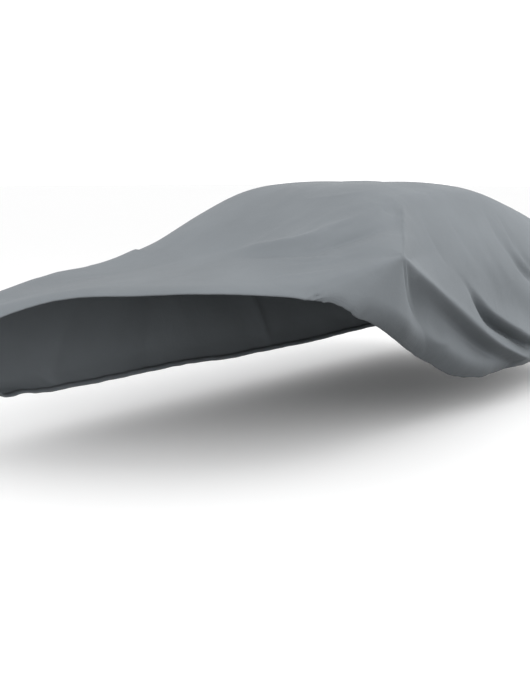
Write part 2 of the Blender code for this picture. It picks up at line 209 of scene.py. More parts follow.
FOLDS = (
    # name, side, line, width_left, width_right
    ("hollow under the long ridge", "near",
     ((0.91, 2.02, 0.87, 0.0), (0.94, 2.33, 0.73, -0.012), (0.948, 2.59, 0.60, -0.035),
      (0.944, 2.86, 0.47, -0.055), (0.94, 3.11, 0.365, -0.055), (0.94, 3.45, 0.26, -0.045)),
     0.08, 0.15),
    ("deep fold over the long ridge", "near",
     ((0.906, 2.54, 0.985, 0.0), (0.927, 2.66, 0.88, -0.004), (0.94, 2.73, 0.80, -0.010),
      (0.949, 2.905, 0.65, -0.045), (0.947, 3.165, 0.525, -0.07), (0.941, 3.545, 0.375, -0.07),
      (0.94, 3.90, 0.29, -0.03)),
     0.04, 0.10),
    ("lip over the deep fold", "near",
     ((0.927, 2.74, 0.86, 0.0), (0.942, 2.88, 0.72, 0.014), (0.949, 3.06, 0.62, 0.030),
      (0.947, 3.28, 0.53, 0.04), (0.943, 3.50, 0.448, 0.04), (0.94, 3.85, 0.365, 0.02)),
     0.16, 0.05),
    ("drape from the roof", "near",
     ((0.70, 3.17, 1.31, -0.002), (0.842, 3.258, 1.104, -0.008), (0.907, 3.352, 0.958, -0.014),
      (0.93, 3.515, 0.862, -0.028), (0.935, 3.85, 0.70, -0.03)),
     0.09, 0.12),
    ("drape from the rear slope", "near",
     ((0.64, 3.85, 1.25, -0.006), (0.91, 4.15, 0.85, -0.028), (0.94, 4.50, 0.35, -0.035)),
     0.08, 0.18),
    ("edge of the front slope", "near",
     ((0.655, 2.167, 1.315, 0.010), (0.629, 1.983, 1.269, 0.014), (0.574, 1.817, 1.218, 0.016),
      (0.538, 1.721, 1.18, 0.018), (0.424, 1.644, 1.144, 0.018), (0.172, 1.589, 1.105, 0.012),
      (-0.10, 1.51, 1.07, 0.0)),
     0.07, 0.28),
    ("trough below that edge", "near",
     ((0.74, 2.21, 1.24, 0.0), (0.745, 2.073, 1.205, -0.025), (0.737, 1.956, 1.188, -0.04),
      (0.707, 1.838, 1.172, -0.042), (0.663, 1.745, 1.159, -0.038), (0.603, 1.642, 1.125, -0.028),
      (0.479, 1.574, 1.101, -0.02), (0.233, 1.523, 1.073, -0.01), (0.0, 1.48, 1.05, 0.0)),
     0.12, 0.08),
    ("roof edge", "near",
     ((0.629, 2.203, 1.342, 0.004), (0.623, 2.448, 1.378, 0.012), (0.606, 2.926, 1.401, 0.014),
      (0.609, 3.156, 1.395, 0.014), (0.614, 3.411, 1.375, 0.010), (0.64, 3.66, 1.32, 0.002)),
     0.12, 0.10),
    ("drape down the side", "far",
     ((0.72, 2.60, 1.25, -0.006), (0.92, 2.75, 0.85, -0.024), (0.94, 2.95, 0.30, -0.03)),
     0.10, 0.18),
    ("drape from the rear slope", "far",
     ((0.68, 3.55, 1.30, -0.008), (0.92, 3.75, 0.85, -0.028), (0.94, 4.05, 0.35, -0.035)),
     0.10, 0.18),
    ("drape down the front side", "far",
     ((0.80, 1.30, 0.93, -0.004), (0.90, 1.15, 0.70, -0.022), (0.94, 0.95, 0.32, -0.03)),
     0.16, 0.10),
    ("swell along the front deck", "far",
     ((0.66, 0.45, 0.86, 0.05), (0.65, 0.95, 0.94, 0.05), (0.64, 1.45, 1.02, 0.05)),
     0.30, 0.30),
)

# Creases that are finer than the solid's folds, in the same columns.
CREASES = (
    # name, side, line, width_left, width_right
    ("crest of the crease up from the tip", "near",
     ((0.86, 1.91, 1.04, 0.0), (0.837, 1.98, 1.08, 0.006), (0.785, 2.109, 1.171, 0.010),
      (0.731, 2.233, 1.255, 0.012), (0.664, 2.364, 1.339, 0.004)),
     0.03, 0.07),
    ("upper pull forward of the tip", "near",
     ((0.76, 1.69, 1.083, 0.0), (0.703, 1.616, 1.083, 0.008), (0.591, 1.547, 1.076, 0.009),
      (0.286, 1.466, 1.052, 0.003)),
     0.035, 0.035),
    ("middle pull forward of the tip", "near",
     ((0.83, 1.80, 1.085, 0.0), (0.777, 1.707, 1.081, 0.007), (0.714, 1.573, 1.06, 0.007),
      (0.577, 1.465, 1.043, 0.002)),
     0.035, 0.035),
    ("lower pull forward of the tip", "near",
     ((0.829, 1.571, 1.004, 0.0), (0.76, 1.45, 1.004, 0.006), (0.627, 1.327, 0.994, 0.003)),
     0.035, 0.035),
    ("first pucker over the drawn-back hem", "near",
     ((0.885, 1.345, 0.905, 0.012), (0.85, 1.40, 0.94, 0.0)),
     0.020, 0.015),
    ("second pucker over the drawn-back hem", "near",
     ((0.915, 1.42, 0.865, -0.012), (0.89, 1.46, 0.905, 0.0)),
     0.020, 0.020),
    ("third pucker over the drawn-back hem", "near",
     ((0.93, 1.49, 0.825, 0.014), (0.905, 1.53, 0.87, 0.0)),
     0.020, 0.015),
    ("fourth pucker over the drawn-back hem", "near",
     ((0.938, 1.57, 0.785, -0.012), (0.925, 1.60, 0.83, 0.0)),
     0.020, 0.020),
    ("crest of the front slope's edge", "near",
     ((0.642, 2.42, 1.361, 0.004), (0.632, 1.98, 1.27, 0.010), (0.574, 1.817, 1.218, 0.013),
      (0.536, 1.724, 1.182, 0.014), (0.425, 1.641, 1.143, 0.014), (0.172, 1.589, 1.105, 0.009),
      (0.062, 1.555, 1.085, 0.0)),
     0.06, 0.08),
    ("crest of the long ridge", "near",
     ((0.905, 2.02, 0.95, 0.0), (0.927, 2.204, 0.868, 0.008), (0.948, 2.571, 0.685, 0.012),
      (0.949, 2.759, 0.585, 0.014), (0.944, 3.05, 0.452, 0.014), (0.94, 3.516, 0.29, 0.010)),
     0.07, 0.04),
    ("shadow under the long ridge", "near",
     ((0.91, 2.02, 0.90, 0.0), (0.935, 2.26, 0.79, -0.005), (0.945, 2.54, 0.655, -0.015),
      (0.948, 2.78, 0.535, -0.024), (0.94, 3.06, 0.405, -0.022), (0.935, 3.40, 0.28, -0.010)),
     0.045, 0.09),
    ("bottom of the deep fold", "near",
     ((0.906, 2.56, 0.975, 0.0), (0.927, 2.66, 0.882, -0.003), (0.94, 2.73, 0.805, -0.010),
      (0.949, 2.905, 0.65, -0.03), (0.947, 3.165, 0.525, -0.035), (0.941, 3.545, 0.375, -0.025)),
     0.035, 0.045),
    ("small ridge beside the long one", "near",
     ((0.948, 2.90, 0.585, 0.0), (0.946, 3.05, 0.521, 0.014), (0.944, 3.191, 0.477, 0.02),
      (0.942, 3.353, 0.422, 0.02), (0.94, 3.537, 0.356, 0.018), (0.94, 3.75, 0.29, 0.0)),
     0.035, 0.030),
    ("curl over the low hem", "near",
     ((0.948, 2.209, 0.649, 0.0), (0.947, 2.343, 0.562, 0.005), (0.947, 2.455, 0.541, 0.005),
      (0.948, 2.588, 0.567, 0.0)),
     0.05, 0.05),
    ("drape behind the tip", "near",
     ((0.663, 2.55, 1.347, 0.0), (0.75, 2.486, 1.244, -0.002), (0.826, 2.47, 1.13, -0.003),
      (0.887, 2.512, 1.013, -0.003), (0.917, 2.593, 0.926, 0.0)),
     0.09, 0.05),
    ("first drape off the roof edge", "near",
     ((0.65, 2.82, 1.366, 0.0), (0.761, 2.786, 1.234, -0.002), (0.851, 2.812, 1.09, -0.003),
      (0.914, 2.933, 0.937, -0.003), (0.94, 3.102, 0.798, 0.0)),
     0.11, 0.08),
    ("second drape off the roof edge", "near",
     ((0.638, 3.107, 1.374, 0.0), (0.759, 3.059, 1.237, 0.002), (0.858, 3.074, 1.076, 0.003),
      (0.925, 3.202, 0.892, 0.004), (0.948, 3.484, 0.698, 0.002)),
     0.10, 0.08),
    ("third drape off the roof edge", "near",
     ((0.687, 3.311, 1.319, 0.0), (0.77, 3.248, 1.219, -0.006), (0.835, 3.27, 1.116, -0.009),
      (0.888, 3.343, 1.01, -0.011), (0.916, 3.422, 0.928, -0.013), (0.93, 3.56, 0.83, -0.01)),
     0.05, 0.04),
    ("fourth drape off the roof edge", "near",
     ((0.729, 3.415, 1.265, 0.0), (0.805, 3.405, 1.161, -0.006), (0.865, 3.438, 1.057, -0.009),
      (0.91, 3.533, 0.947, -0.011), (0.93, 3.75, 0.80, -0.008)),
     0.05, 0.04),
    ("first streak up the front slope", "near",
     ((0.30, 1.60, 1.115, 0.0), (0.399, 1.655, 1.152, 0.005), (0.44, 1.815, 1.236, 0.006),
      (0.50, 1.993, 1.311, 0.006), (0.586, 2.183, 1.359, 0.003)),
     0.045, 0.03),
    ("second streak up the front slope", "near",
     ((0.083, 1.567, 1.091, 0.0), (0.192, 1.668, 1.153, 0.004), (0.267, 1.843, 1.252, 0.005),
      (0.346, 2.002, 1.33, 0.003)),
     0.06, 0.04),
    ("third streak up the front slope", "near",
     ((0.517, 1.88, 1.258, 0.0), (0.56, 2.027, 1.311, 0.005), (0.612, 2.227, 1.359, 0.002)),
     0.035, 0.025),
    ("ripple beside the front slope", "near",
     ((0.653, 1.905, 1.228, 0.0), (0.659, 2.026, 1.269, 0.005), (0.669, 2.187, 1.309, 0.0)),
     0.02, 0.03),
    ("ripple across the roof front", "near",
     ((0.05, 2.09, 1.372, 0.0), (0.315, 2.135, 1.391, 0.004), (0.459, 2.238, 1.414, 0.005),
      (0.522, 2.563, 1.435, 0.0)),
     0.06, 0.05),
)
# From the middle plane outwards, the folds of a side set in over this distance.
MIDDLE_BLEND = 0.20
# Straight pieces that the smooth line of a fold is cut into.
LINE_STEPS = 24
# Outward and up: what a fold's left and right are told apart by.
SIDE_FACES = np.array((0.8, 0.0, 0.6))
# Radius over the crest of a fold and of a crease.
CREST_RADIUS = 0.012
CREASE_RADIUS = 0.006
# How sharply a fold's two widths part at its line, and how much sooner it stops past the line's ends.
SIDES_PART = 1.5
ENDS_STOP = 1.5
# Cloth that would stand out further than this lies outside the stretched face.
MOST_RISE = 0.25
TINY = 1e-9
# The side is searched for a height from here round to the hem, by halving.
TOP_ENDS = 0.35
HALVINGS = 20
# Rows and columns of the mesh in the far front corner of the hem.
LEVEL_CORNER = 4

# The elastic hem pulls the last of the cloth in: by how much at the hem, and over what length of cloth.
# Where the cloth is drawn back and lies nearly flat, it pulls in by only a share of that. Down the near
# side the pull grows to its full strength between two distances back.
HEM_PULL = 0.10
HEM_PULL_REACH = 0.15
DRAWN_EDGE_PULL = 0.20
NEAR_PULL_STARTS = 1.45
NEAR_PULL_FULL = 1.90


def pick(table, index):
    """Row `index` of a table whose rows are numbers, or are arrays like `index`."""
    if table.ndim == 1:
        return table[index]
    return np.take_along_axis(table, index[None], axis=0)[0]


def curve(knots, values, at):
    """Smooth curve through one value, or one array like `at`, for each knot."""
    knots = np.asarray(knots, dtype=float)
    values = np.asarray(values, dtype=float)
    at = np.clip(at, knots[0], knots[-1])
    last = len(knots) - 1
    slopes = np.empty_like(values)
    for k in range(last + 1):
        before, after = max(k - 1, 0), min(k + 1, last)
        slopes[k] = (values[after] - values[before]) / (knots[after] - knots[before])
    piece = np.clip(np.searchsorted(knots, at, side="right") - 1, 0, last - 1)
    span = knots[piece + 1] - knots[piece]
    t = (at - knots[piece]) / span
    return (
        (2 * t**3 - 3 * t**2 + 1) * pick(values, piece)
        + (t**3 - 2 * t**2 + t) * span * pick(slopes, piece)
        + (3 * t**2 - 2 * t**3) * pick(values, piece + 1)
        + (t**3 - t**2) * span * pick(slopes, piece + 1)
    )


SECTION = dict(zip(
    ("back", "up", "shoulder_x", "shoulder_z", "waist_x", "waist_z", "hem_x", "hem_z", "sweep"),
    np.array(SECTIONS).T,
))
# Cloth length along the middle line, from the front hem to each section.
STEPS = np.hypot(np.diff(SECTION["back"]), np.diff(SECTION["up"]))
TRAVEL = np.concatenate(([0.0], np.cumsum(STEPS)))
LENGTH = TRAVEL[-1]
ROUND = (0.0, SHOULDER_AT, WAIST_AT, 1.0)


def cut_through(travel):
    """The cross-section's sizes at each distance of travel along the middle line."""
    return {name: curve(TRAVEL, column, travel) for name, column in SECTION.items()}


def height(cut, around):
    """Height of the section, a share of the way round from the middle to the low hem."""
    return curve(ROUND, (cut["up"], cut["shoulder_z"], cut["waist_z"], cut["hem_z"]), around)


def around_at_height(cut, up):
    """How far round the section the plain side passes a height."""
    low = np.full(up.shape, TOP_ENDS)
    high = np.ones(up.shape)
    for _ in range(HALVINGS):
        middle = (low + high) / 2
        above = height(cut, middle) > up
        low = np.where(above, middle, low)
        high = np.where(above, high, middle)
    return high


def near_around(cut, across):
    """Spread the near side's lengthwise lines from the middle to the ridge, and on to the raised hem."""
    ridge = around_at_height(cut, curve(*zip(*RIDGE_LINE), cut["back"]))
    hem = around_at_height(cut, curve(*zip(*NEAR_HEM), cut["back"]))
    below = np.clip((across - RIDGE_AT) / (1.0 - RIDGE_AT), 0.0, 1.0)
    return np.where(across < RIDGE_AT, across / RIDGE_AT * ridge, ridge + below * (hem - ridge))


def plain_cover(along, across):
    """Shape of the cover before folds, for a grid of along 0..1 and across -1..1."""
    missing = curve(*zip(*DRAWN_BACK), across)
    left = np.clip(1.0 - along / DRAWN_BACK_REACH, 0.0, 1.0)
    cut = cut_through(along * LENGTH + missing * left**2 * (3.0 - 2.0 * left))
    around = np.where(across > 0.0, near_around(cut, across), np.abs(across))
    half = curve(ROUND, (np.zeros(across.shape), cut["shoulder_x"], cut["waist_x"], cut["hem_x"]), around)
    back = cut["back"] + cut["sweep"] * around**2
    return np.stack((np.sign(across) * half, back, height(cut, around)), axis=-1)


def outward(points):
    """Unit normals of a grid of points."""
    lengthwise = np.gradient(points, axis=0)
    crosswise = np.gradient(points, axis=1)
    normal = np.cross(crosswise, lengthwise)
    # At the far front corner both edges run level and give no direction, so it is taken from further back.
    normal[:LEVEL_CORNER, :LEVEL_CORNER] = normal[LEVEL_CORNER, :LEVEL_CORNER]
    return normal / np.linalg.norm(normal, axis=-1, keepdims=True)


def ridge(points, radius, line, width_left, width_right):
    """Height of one fold over the plain cover, from the distance to its line."""
    line = np.array(line)
    runs = np.linalg.norm(np.diff(line[:, :3], axis=0), axis=1)
    knots = np.concatenate(([0.0], np.cumsum(runs)))
    places = np.linspace(0.0, knots[-1], LINE_STEPS + 1)
    line = np.stack([curve(knots, column, places) for column in line.T], axis=-1)
    reach = max(width_left, width_right) + radius
    low_corner, high_corner = line[:, :3].min(axis=0) - reach, line[:, :3].max(axis=0) + reach
    inside = ((points > low_corner) & (points < high_corner)).all(axis=-1)
    points = points[inside]
    nearest = np.full(len(points), np.inf)
    rise = np.zeros(len(points))
    lean = np.zeros(len(points))
    beyond = np.zeros(len(points))
    for (*start, low), (*end, high) in zip(line[:-1], line[1:]):
        run = np.subtract(end, start)
        along = (points - start) @ run / (run @ run)
        t = np.clip(along, 0.0, 1.0)
        gap = points - start - t[:, None] * run
        distance = np.linalg.norm(gap, axis=-1)
        closer = distance < nearest
        nearest = np.where(closer, distance, nearest)
        rise = np.where(closer, low + (high - low) * t, rise)
        leftward = np.cross(SIDE_FACES, run) / np.linalg.norm(np.cross(SIDE_FACES, run))
        lean = np.where(closer, gap @ leftward / np.maximum(distance, TINY), lean)
        beyond = np.where(closer, np.abs(along - t) * np.linalg.norm(run), beyond)
    # Round the ends of the line the two widths pass into each other, and the fold stops sooner.
    left = 0.5 + 0.5 * np.clip(SIDES_PART * lean, -1.0, 1.0)
    distance = np.hypot(nearest, radius) - radius + ENDS_STOP * beyond
    fall = np.clip(1.0 - distance / (width_right + left * (width_left - width_right)), 0.0, 1.0)
    height_over_plain = np.zeros(inside.shape)
    height_over_plain[inside] = rise * fall**2
    return height_over_plain


def stretched(points, normals):
    """Height over the plain cover of the cloth that is stretched from the near tip to its rim."""
    peak, rim = np.array(NEAR_PEAK), np.array(NEAR_RIM)
    knots = np.arange(len(rim))
    places = np.linspace(0, len(rim) - 1, RIM_STEPS + 1)
    rim = np.stack([curve(knots, column, places) for column in rim.T], axis=-1)
    height_over_plain = np.zeros(points.shape[:-1])
    for (*one, kept), (*other, kept_on) in zip(rim[:-1], rim[1:]):
        one, other = one - peak, other - peak
        face = np.cross(one, other)
        rise = (peak - points) @ face / (normals @ face + TINY)
        spot = points + rise[..., None] * normals - peak
        u, v = np.moveaxis(spot @ np.linalg.pinv(np.stack((one, other))), -1, 0)
        inside = (u >= 0.0) & (v >= 0.0) & (u + v <= 1.0) & (rise < MOST_RISE)
        share = (kept * u + kept_on * v) / np.maximum(u + v, TINY)
        fade = np.clip((1.0 - u - v) / RIM_FADE, 0.0, 1.0) * share
        height_over_plain = np.where(inside, np.maximum(rise * fade, height_over_plain), height_over_plain)
    return height_over_plain


def relief(points, normals):
    """How far the tents, folds and creases move each point of the cover outwards."""
    mirrored = np.stack((np.abs(points[..., 0]), points[..., 1], points[..., 2]), axis=-1)
    share = {
        "near": np.clip(points[..., 0] / MIDDLE_BLEND, 0.0, 1.0),
        "far": np.clip(-points[..., 0] / MIDDLE_BLEND, 0.0, 1.0),
    }
    tent = stretched(points, normals) * share["near"]
    for _, side, *shape in TENT_RIDGES:
        tent = np.maximum(tent, ridge(mirrored, CREST_RADIUS, *shape) * share[side])
    folds = sum(ridge(mirrored, CREST_RADIUS, *shape) * share[side] for _, side, *shape in FOLDS)
    creases = sum(ridge(mirrored, CREASE_RADIUS, *shape) * share[side] for _, side, *shape in CREASES)
    return tent + folds + creases


def run_along(points, axis):
    """Length of cloth along the grid lines of one axis, from its first point."""
    steps = np.linalg.norm(np.diff(points, axis=axis), axis=-1)
    start = np.zeros_like(np.take(steps, [0], axis=axis))
    return np.concatenate((start, np.cumsum(steps, axis=axis)), axis=axis)


def hem_pull(points, across):
    """How far the elastic hem pulls each point in."""
    lengthwise, crosswise = run_along(points, 0), run_along(points, 1)
    drawn = np.clip(curve(*zip(*DRAWN_BACK), across), 0.0, 1.0)
    back = points[..., 1]
    near = np.clip((back - NEAR_PULL_STARTS) / (NEAR_PULL_FULL - NEAR_PULL_STARTS), 0.0, 1.0)
    pull = np.zeros(across.shape)
    for from_hem, share in (
        (lengthwise, 1.0 - (1.0 - DRAWN_EDGE_PULL) * drawn),
        (lengthwise[-1:] - lengthwise, 1.0),
        (crosswise, 1.0),
        (crosswise[:, -1:] - crosswise, DRAWN_EDGE_PULL + (1.0 - DRAWN_EDGE_PULL) * near),
    ):
        pull = np.maximum(pull, share * HEM_PULL * np.clip(1.0 - from_hem / HEM_PULL_REACH, 0.0, 1.0) ** 2)
    return pull


def cover_points(along, across):
    """The hung cloth in the frame's own axes, for a grid of along 0..1 and across -1..1."""
    plain = plain_cover(along, across)
    normals = outward(plain)
    folded = plain + normals * relief(plain, normals)[..., None]
    hemmed = folded - normals * hem_pull(folded, across)[..., None]
    return hemmed - np.array((0.0, ORIGIN_BACK, ORIGIN_UP))


# ---------------------------------------------------------------- small wrinkles and the hem

# Cells along each side of a noise table, after which it repeats.
NOISE_CELLS = 64

# Wrinkles besides those of the tables: how deep, how long and wide one of them is, and how far they slant.
WRINKLES = (
    # name, seed, depth, length, width, slant
    ("soft hollows of the slack cloth", 3, 0.0030, 0.55, 0.28, 0.35),
    ("small creases", 7, 0.0012, 0.30, 0.09, -0.25),
)
# Fine pulls round the near tip: how many to half a turn, how deep, how far from the tip they start,
# over what length they grow, and where they have ended. FAN_CORNER is where their noise table is read.
PULL_WRINKLES = 15.0
PULL_DEPTH = 0.003
PULL_STARTS = 0.15
PULL_GROWS_OVER = 0.25
PULL_REACH = 0.75
PULL_SEED = 11
FAN_CORNER = 20.0
# Gathers over the elastic hem: length of one along the hem, depth, and how soon they fade away from it.
# The drawn-back edge has only a share of their depth.
HEM_GATHER = 0.07
HEM_GATHER_DEPTH = 0.006
HEM_GATHER_REACH = 0.06
DRAWN_EDGE_GATHER = 0.35
GATHERED_HEMS = (
    # axis, end, seed
    (0, 0, 21),
    (0, -1, 22),
    (1, 0, 25),
    (1, -1, 26),
)
MIDDLE_OF_CELL = 0.5

# Section of the hem, from the cloth's edge: how far past the edge and how far inside it lies.
HEM_TURN = (
    # past, inside
    (0.005, 0.002),
    (0.007, 0.007),
    (0.003, 0.012),
    (-0.010, 0.014),
    (-0.030, 0.010),
)
# Neighbours on each side over which the direction of the turned hem is averaged.
HEM_EVENING = 4
# Step of the weave from one ring of the turned hem to the next.
HEM_RING_WIDTH = 0.004


def smooth_noise(u, v, seed):
    """Even hills and hollows between -1 and 1, about one to each whole step of u and v."""
    table = np.random.default_rng(seed).uniform(-1.0, 1.0, (NOISE_CELLS, NOISE_CELLS))
    i, j = np.floor(u).astype(int), np.floor(v).astype(int)
    s, t = u - i, v - j
    s, t = s * s * (3.0 - 2.0 * s), t * t * (3.0 - 2.0 * t)

    def corner(a, b):
        return table[(i + a) % NOISE_CELLS, (j + b) % NOISE_CELLS]

    near_row = corner(0, 0) * (1.0 - s) + corner(1, 0) * s
    next_row = corner(0, 1) * (1.0 - s) + corner(1, 1) * s
    return near_row * (1.0 - t) + next_row * t


def small_wrinkles(points):
    """Outward depth of the wrinkles at each point of the hung cloth."""
    lengthwise, crosswise = run_along(points, 0), run_along(points, 1)
    depth = np.zeros(points.shape[:2])
    for _, seed, deep, long, wide, slant in WRINKLES:
        u = (lengthwise + slant * crosswise) / wide
        v = (crosswise - slant * lengthwise) / long
        depth += deep * smooth_noise(u, v, seed)
    # Fine pulls that fan out from the near tip.
    tip = np.array(NEAR_TIP[:3]) - np.array((0.0, ORIGIN_BACK, ORIGIN_UP))
    off = points - tip
    away = np.linalg.norm(off, axis=-1)
    ray = off / np.maximum(away, TINY)[..., None] * PULL_WRINKLES / math.pi
    fan = smooth_noise(ray[..., 1] + FAN_CORNER, ray[..., 2] + FAN_CORNER, PULL_SEED)
    swell = np.clip((away - PULL_STARTS) / PULL_GROWS_OVER, 0.0, 1.0)
    swell = swell * np.clip(1.0 - away / PULL_REACH, 0.0, 1.0) ** 2
    depth += PULL_DEPTH * fan * swell * (points[..., 0] > 0.0)
    # Gathers over the elastic hem.
    for axis, end, seed in GATHERED_HEMS:
        run, other = (crosswise, lengthwise) if axis == 0 else (lengthwise, crosswise)
        edge = np.take(other, [end], axis=axis)
        near_edge = np.exp(-np.abs(other - edge) / HEM_GATHER_REACH)
        amount = DRAWN_EDGE_GATHER if (axis, end) == (0, 0) else 1.0
        gather = smooth_noise(run / HEM_GATHER, np.full_like(run, MIDDLE_OF_CELL), seed)
        depth += amount * HEM_GATHER_DEPTH * gather * near_edge
    return depth


def rim_of(rows, columns):
    """Indices of the grid's outermost points, once round."""
    index = np.arange(rows * columns).reshape(rows, columns)
    return np.concatenate((index[0], index[1:, -1], index[-1, -2::-1], index[-2:0:-1, 0]))


def evened(directions):
    """Unit directions round a closed ring, each averaged with its neighbours."""
    steps = range(-HEM_EVENING, HEM_EVENING + 1)
    total = sum(np.roll(directions, step, axis=0) for step in steps)
    return total / np.linalg.norm(total, axis=1, keepdims=True)


def hem_rings(points, normals, rim):
    """Points of the turned-under hem, a ring for each row of HEM_TURN."""
    flat_points, flat_normals = points.reshape(-1, 3), normals.reshape(-1, 3)
    rows, columns = points.shape[:2]
    index = np.arange(rows * columns).reshape(rows, columns)
    inner = index[np.clip(rim // columns, 1, rows - 2), np.clip(rim % columns, 1, columns - 2)]
    edge, normal = flat_points[rim], flat_normals[rim]
    tangent = np.roll(edge, -1, axis=0) - np.roll(edge, 1, axis=0)
    tangent /= np.linalg.norm(tangent, axis=1, keepdims=True)
    past = edge - flat_points[inner]
    past -= (past * tangent).sum(axis=1, keepdims=True) * tangent
    past -= (past * normal).sum(axis=1, keepdims=True) * normal
    past /= np.linalg.norm(past, axis=1, keepdims=True)
    past, normal = evened(past), evened(normal)
    return [edge + past * outer - normal * inside for outer, inside in HEM_TURN]


# ---------------------------------------------------------------- materials

# Threads of such cloth are about 0.3 mm apart; these are as coarse as a close view needs.
THREAD_SPACING = 0.0025
# Length after which Blender's wave texture repeats at scale 1.
WAVE_PERIOD_AT_SCALE_1 = 2.0 * math.pi / 20.0
# Patches about 45 cm across, the darkest and lightest shares of the cloth's colour in them, and the noise
# values at which they are that dark or light.
PATCHES_PER_METRE = 2.2
DARKER = 0.95
LIGHTER = 1.05
PATCH_EDGES = (0.3, 0.7)
# Soft crumples about 11 cm across and 6 mm deep, and the depth between two threads.
CRUMPLES_PER_METRE = 9.0
CRUMPLE_DEPTH = 0.006
WEAVE_DEPTH = 0.0003


def linear(hex_colour):
    """Linear RGBA of an sRGB hex colour."""
    parts = [int(hex_colour[i:i + 2], 16) / 255.0 for i in (0, 2, 4)]
    return (*(c / 12.92 if c <= 0.04045 else ((c + 0.055) / 1.055) ** 2.4 for c in parts), 1.0)


def add_node(tree, kind, settings=None, inputs=None):
    """Add a node, set its properties, and give its inputs a value or the socket that feeds them."""
    made = tree.nodes.new(kind)
    for name, value in (settings or {}).items():
        setattr(made, name, value)
    for name, value in (inputs or {}).items():
        if isinstance(value, bpy.types.NodeSocket):
            tree.links.new(value, made.inputs[name])
        else:
            made.inputs[name].default_value = value
    return made


def new_material(name):
    """A material with its node tree and its shader."""
    material = bpy.data.materials.new(name)
    material.use_nodes = True
    return material, material.node_tree, material.node_tree.nodes["Principled BSDF"]


def woven_polyester(colour):
    """Coated woven polyester: matt and even, with a low satin gloss at a glancing angle."""
    material, tree, shader = new_material("woven polyester cloth")
    place = add_node(tree, "ShaderNodeUVMap", {"uv_map": "cloth"})
    space = add_node(tree, "ShaderNodeTexCoord")
    # Handling leaves the cloth a shade lighter and darker in broad patches.
    patches = add_node(
        tree, "ShaderNodeTexNoise",
        inputs={"Vector": space.outputs["Object"], "Scale": PATCHES_PER_METRE, "Detail": 3.0},
    )
    shade = add_node(tree, "ShaderNodeValToRGB", inputs={"Fac": patches.outputs["Fac"]})
    for stop, position, tint in zip(shade.color_ramp.elements, PATCH_EDGES, (DARKER, LIGHTER)):
        stop.position = position
        stop.color = (*(tint * c for c in colour), 1.0)
    threads = [
        add_node(
            tree, "ShaderNodeTexWave", {"bands_direction": way},
            {"Vector": place.outputs["UV"], "Scale": WAVE_PERIOD_AT_SCALE_1 / THREAD_SPACING},
        )
        for way in ("X", "Y")
    ]
    weave = add_node(
        tree, "ShaderNodeMath", {"operation": "MAXIMUM"},
        {0: threads[0].outputs["Fac"], 1: threads[1].outputs["Fac"]},
    )
    crumple = add_node(
        tree, "ShaderNodeTexNoise",
        inputs={
            "Vector": space.outputs["Object"], "Scale": CRUMPLES_PER_METRE,
            "Detail": 4.0, "Distortion": 0.8,
        },
    )
    soft = add_node(
        tree, "ShaderNodeBump",
        inputs={"Height": crumple.outputs["Fac"], "Strength": 0.5, "Distance": CRUMPLE_DEPTH},
    )
    fine = add_node(
        tree, "ShaderNodeBump",
        inputs={
            "Height": weave.outputs["Value"], "Strength": 0.4, "Distance": WEAVE_DEPTH,
            "Normal": soft.outputs["Normal"],
        },
    )
    tree.links.new(shade.outputs["Color"], shader.inputs["Base Color"])
    tree.links.new(fine.outputs["Normal"], shader.inputs["Normal"])
    shader.inputs["Roughness"].default_value = 0.75
    shader.inputs["Specular IOR Level"].default_value = 0.15
    shader.inputs["Sheen Weight"].default_value = 0.04
    shader.inputs["Sheen Roughness"].default_value = 0.4
    return material


def painted_floor(colour):
    """Smooth painted studio floor: pale and matt."""
    material, _, shader = new_material("matt floor paint")
    shader.inputs["Base Color"].default_value = (*colour, 1.0)
    shader.inputs["Roughness"].default_value = 0.8
    return material


# ---------------------------------------------------------------- pieces

# Where the lengthwise and crosswise lines of the mesh lie, closer together on the folded near side.
ROW_SPANS = (
    # from, to, rows
    (0.00, 0.36, 90),
    (0.36, 0.76, 170),
    (0.76, 1.00, 48),
)
COLUMN_SPANS = (
    # from, to, columns
    (-1.00, -0.40, 26),
    (-0.40, 0.46, 38),
    (0.46, 0.66, 22),
    (0.66, 0.84, 34),
    (0.84, 1.00, 22),
)


def spaced(spans):
    """Places of the mesh lines from rows of (from, to, how many)."""
    starts = [np.linspace(low, high, count + 1)[:-1] for low, high, count in spans]
    return np.append(np.concatenate(starts), spans[-1][1])


def cloth_mesh(name):
    """The whole sheet as one surface: the grid of the cloth, then the rings of its turned hem."""
    along, across = np.meshgrid(spaced(ROW_SPANS), spaced(COLUMN_SPANS), indexing="ij")
    points = cover_points(along, across)
    points = points + outward(points) * small_wrinkles(points)[..., None]
    rows, columns = along.shape
    index = np.arange(rows * columns).reshape(rows, columns)
    cells = np.stack((index[:-1, :-1], index[:-1, 1:], index[1:, 1:], index[1:, :-1]), axis=-1)
    faces = [cells.reshape(-1, 4)]
    rim = rim_of(rows, columns)
    rings = hem_rings(points, outward(points), rim)
    flat = np.stack((run_along(points, 1), run_along(points, 0)), axis=-1).reshape(-1, 2)
    ring_index = rim
    for k in range(len(rings)):
        next_index = index.size + k * len(rim) + np.arange(len(rim))
        ahead, next_ahead = np.roll(ring_index, -1), np.roll(next_index, -1)
        faces.append(np.stack((ahead, ring_index, next_index, next_ahead), axis=-1))
        ring_index = next_index
    corners = np.concatenate((points.reshape(-1, 3), *rings))
    flat = np.concatenate((flat, *(flat[rim] + HEM_RING_WIDTH * (k + 1) for k in range(len(rings)))))
    faces = np.concatenate(faces)
    mesh = bpy.data.meshes.new(name)
    mesh.from_pydata(corners.tolist(), [], faces.tolist())
    layer = mesh.uv_layers.new(name="cloth")
    layer.data.foreach_set("uv", flat[faces.reshape(-1)].reshape(-1))
    mesh.shade_smooth()
    return mesh


